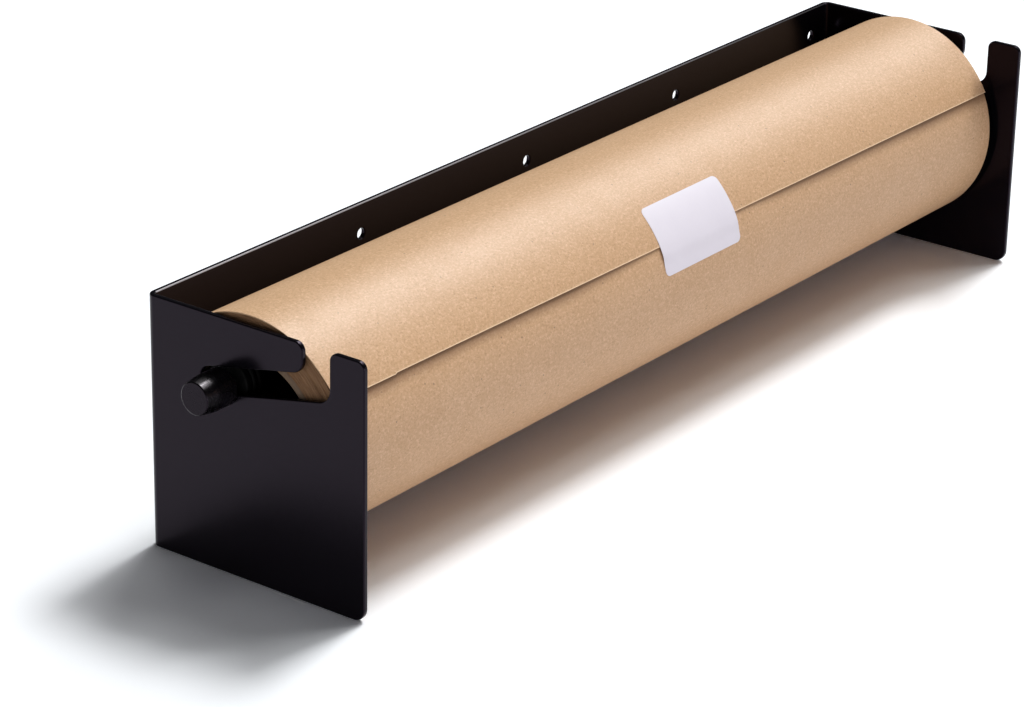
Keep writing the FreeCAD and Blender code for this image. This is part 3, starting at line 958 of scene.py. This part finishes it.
def board_tube():
    """Tube whose bore has a helical groove where a strip's edges meet: along the bore the groove's
    place advances by one pitch in each turn."""
    angle = np.arange(AROUND) * TURN / AROUND
    bore_x = np.linspace(core_stop - MM, core_start + MM, BORE_STEPS)
    outline = np.array([(core_start, core_bore + 0.5 * MM), (core_start, core_radius - 0.3 * MM),
                        (core_start + 0.3 * MM, core_radius), (core_stop - 0.3 * MM, core_radius),
                        (core_stop, core_radius - 0.3 * MM), (core_stop, core_bore + 0.5 * MM),
                        (core_stop - 0.2 * MM, core_bore + 0.1 * MM)])
    outline = np.concatenate([outline, np.stack([bore_x, np.full(BORE_STEPS, core_bore)], -1),
                              [(core_start + 0.2 * MM, core_bore + 0.1 * MM)]])
    x, around = np.meshgrid(outline[:, 0], angle, indexing="ij")
    radius = np.repeat(outline[:, 1:], AROUND, 1)
    off = (x / STRIP_PITCH - around / TURN + 0.5) % 1 - 0.5
    groove_shape = np.exp(-(off * STRIP_PITCH / SEAM_WIDTH) ** 2)
    radius = np.where(radius == core_bore, radius + SEAM_DEPTH * groove_shape, radius)
    return on_roll(x, around, radius)


rings = board_tube()
number = np.arange(rings.shape[0] * rings.shape[1]).reshape(rings.shape[:2])
wound = [grid_quads(number, True, True)]
add_piece("board_tube", "roll_core", rings, wound, core_board(), crease_deg=40)

# %% [markdown]
# ## The label
#
# A blank white label holds the loose edge down. It lies on the paper above the edge and on the turn
# below it, and it spans the little step between them, which puts a soft shade across it. Its
# outline is a rectangle with round corners: each row of the grid is as wide as the outline is there.

# %% Label
LABEL_HEIGHT = 40 * MM
LABEL_ROUND = 3.5 * MM
LABEL_SHEET = 0.14 * MM
LABEL_MIDDLE = math.radians(30.5)
LABEL_STIFF, LABEL_SPAN = 4 * MM, 8 * MM
LABEL_GAP = 0.03 * MM
LABEL_COLUMNS, LABEL_ROWS = 70, 90
label_low, label_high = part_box("label")
label_middle, label_width = (label_low[0] + label_high[0]) / 2, label_high[0] - label_low[0]


def label_paper():
    material, tree, shader, place = new_finish("label paper", Specular_IOR_Level=0.45)
    cloud, fibre = grain(tree, place, 0.012, 3), grain(tree, place, 0.0006, 3, 0.7)
    colour = mixed(tree, stretched(tree, cloud, 0, 1), (0.875, 0.84, 0.90, 1), (0.855, 0.82, 0.88, 1))
    fibres = stretched(tree, fibre, 0, 0.2)
    feed(tree, shader, Base_Color=mixed(tree, fibres, colour, (0.79, 0.755, 0.81, 1)),
         Roughness=stretched(tree, cloud, 0.42, 0.5),
         Normal=relief(tree, fibre, 0.000006, relief(tree, cloud, 0.00005)))
    return material


def label_radius(x, distance):
    """The label's inner radius: on the paper above the edge, straight on for a few millimetres
    below it, and then easing down to the sunk turn. It bridges the lip with a broader bump."""
    ahead = np.maximum(distance, 0)
    bump = LIP_HEIGHT * (np.exp(-(ahead / LABEL_STIFF) ** 2) - np.exp(-(ahead / LIP_REACH) ** 2))
    above = paper_radius(x, distance) + bump
    down = smooth((-distance - LABEL_STIFF) / LABEL_SPAN)
    return LABEL_GAP + np.where(distance < 0, SUNK + (above - SUNK) * (1 - down), above)


def label_grid():
    """Rows lie closer together near the round corners. A row at height v is as wide as the outline
    there: half the width, less the radius, plus the corner circle's reach at that height."""
    v = LABEL_HEIGHT / 2 * np.sin(np.linspace(-QUARTER, QUARTER, LABEL_ROWS))
    into = np.maximum(np.abs(v) - (LABEL_HEIGHT / 2 - LABEL_ROUND), 0)
    half = label_width / 2 - LABEL_ROUND + np.sqrt(np.maximum(LABEL_ROUND ** 2 - into ** 2, 0))
    share, height = np.meshgrid(np.linspace(-1, 1, LABEL_COLUMNS), v, indexing="ij")
    return label_middle + share * half, LABEL_MIDDLE + height / roll_radius


x, angle = label_grid()
distance = (angle - edge_angle(x)) * roll_radius
radius = label_radius(x, distance)
points, faces = shell(on_roll(x, angle, radius + LABEL_SHEET), on_roll(x, angle, radius))
add_piece("blank_label", "label", points, faces, label_paper(), crease_deg=35)

# %% [markdown]
# ## Camera
#
# The camera stands in front and to the left, a little above, and far enough off that the long
# holder hardly narrows. Its place and its three directions were found by matching the holder's
# corners. Blender's camera looks along its own minus Z, so the third column is turned round.

# %% Camera
CAMERA_PLACE = Vector((-1.544006, -1.078041, 0.824452))
CAMERA_RIGHT = Vector((0.60398789, -0.79681858, 0.01669678))
CAMERA_UP = Vector((0.30366859, 0.24944896, 0.91954369))
SENSOR = 36.0
PICTURE_WIDTH = 1024
FOCAL_PIXELS = 3656.51

camera = bpy.data.objects.new("camera", bpy.data.cameras.new("camera"))
camera.data.sensor_width = SENSOR
camera.data.lens = FOCAL_PIXELS * SENSOR / PICTURE_WIDTH
camera.matrix_world = Matrix.Translation(CAMERA_PLACE) @ Matrix(
    (CAMERA_RIGHT, CAMERA_UP, CAMERA_RIGHT.cross(CAMERA_UP))).transposed().to_4x4()
bpy.context.scene.collection.objects.link(camera)
bpy.context.scene.camera = camera
print("lens %.1f mm" % camera.data.lens)

# %% [markdown]
# ## Floor and light
#
# The object stands on a white sweep that the camera sees as pure white except for its shadow. The
# floor therefore has two colours: a plain pale one, which throws light back on the object, and a
# brighter, faintly cool one for the camera and for mirror images. The light is one soft lamp, high
# to the right, made of a bright middle and two dimmer sides. Weak ones low in front, low on the
# right and all round fill the shadows. The sky is dim, but pale near the horizon, where a low view
# would see it.

# %% Floor
FLOOR_SIZE = 12.0
FLOOR_PALE = (0.70, 0.70, 0.70, 1)
FLOOR_SEEN = (1.15, 1.18, 1.21, 1)


def seen_directly(tree):
    """One for rays from the camera, from mirrors and through glass, and zero for scattered light."""
    rays = add_node(tree, "LightPath", {}).outputs
    either = maths(tree, "MAXIMUM", rays["Is Camera Ray"], rays["Is Glossy Ray"])
    return maths(tree, "MAXIMUM", either, rays["Is Transmission Ray"])


def floor_finish():
    material = bpy.data.materials.new("white sweep")
    material.use_nodes = True
    tree = material.node_tree
    tree.nodes.clear()
    colour = mixed(tree, seen_directly(tree), FLOOR_PALE, FLOOR_SEEN)
    diffuse = add_node(tree, "BsdfDiffuse", {"Color": colour})
    add_node(tree, "OutputMaterial", {"Surface": diffuse.outputs[0]})
    return material


mesh = bpy.data.meshes.new("floor")
reach = FLOOR_SIZE / 2
corners = [(-reach, -reach, 0), (reach, -reach, 0), (reach, reach, 0), (-reach, reach, 0)]
mesh.from_pydata(corners, [], [(0, 1, 2, 3)])
mesh.materials.append(floor_finish())
floor = bpy.data.objects.new("floor", mesh)
bpy.context.scene.collection.objects.link(floor)

# %% Lamps
def far_lamp(name, around_deg, above_deg, width_deg, level, colour=(1, 1, 1)):
    """A round soft lamp, so far off that it lights both ends alike. It stands in a direction round
    the object from +X and above the floor, and looks width_deg wide. Its light at level 1 makes
    a white surface that faces it just white, which is a strength of pi."""
    lamp = bpy.data.objects.new(name, bpy.data.lights.new(name, "SUN"))
    lamp.data.energy = math.pi * level
    lamp.data.angle = math.radians(width_deg)
    lamp.data.color = colour
    around, above = math.radians(around_deg), math.radians(above_deg)
    level_reach = math.cos(above)
    toward = Vector((math.cos(around) * level_reach, math.sin(around) * level_reach, math.sin(above)))
    lamp.rotation_mode = "QUATERNION"
    lamp.rotation_quaternion = toward.to_track_quat("Z", "Y")
    bpy.context.scene.collection.objects.link(lamp)
    return lamp


far_lamp("key middle", 0, 56, 14, 0.50)
far_lamp("key front side", -16, 56, 30, 0.30)
far_lamp("key back side", 16, 46, 18, 0.19)
far_lamp("overhead", 0, 86, 20, 0.05)
far_lamp("low right", 0, 20, 25, 0.16)
far_lamp("low front", -90, 6, 10, 0.21, (0.99, 0.93, 1.08))
far_lamp("back right", 45, 54, 26, 0.04)
far_lamp("left", 180, 50, 30, 0.03)

# %% Sky
HORIZON_LEVEL, SKY_LEVEL = 0.9, 0.03
HORIZON_TOP, SKY_START = math.sin(math.radians(3)), math.sin(math.radians(7))
world = bpy.data.worlds.new("sky")
world.use_nodes = True
bpy.context.scene.world = world
tree = world.node_tree
direction = add_node(tree, "TexCoord", {}).outputs["Generated"]
height = add_node(tree, "SeparateXYZ", {0: direction}).outputs[2]
level = stretched(tree, height, HORIZON_LEVEL, SKY_LEVEL, HORIZON_TOP, SKY_START)
tree.links.new(level, tree.nodes["Background"].inputs["Strength"])
tree.nodes["Background"].inputs["Color"].default_value = (1, 1, 1, 1)

bpy.context.scene.view_settings.view_transform = "Standard"
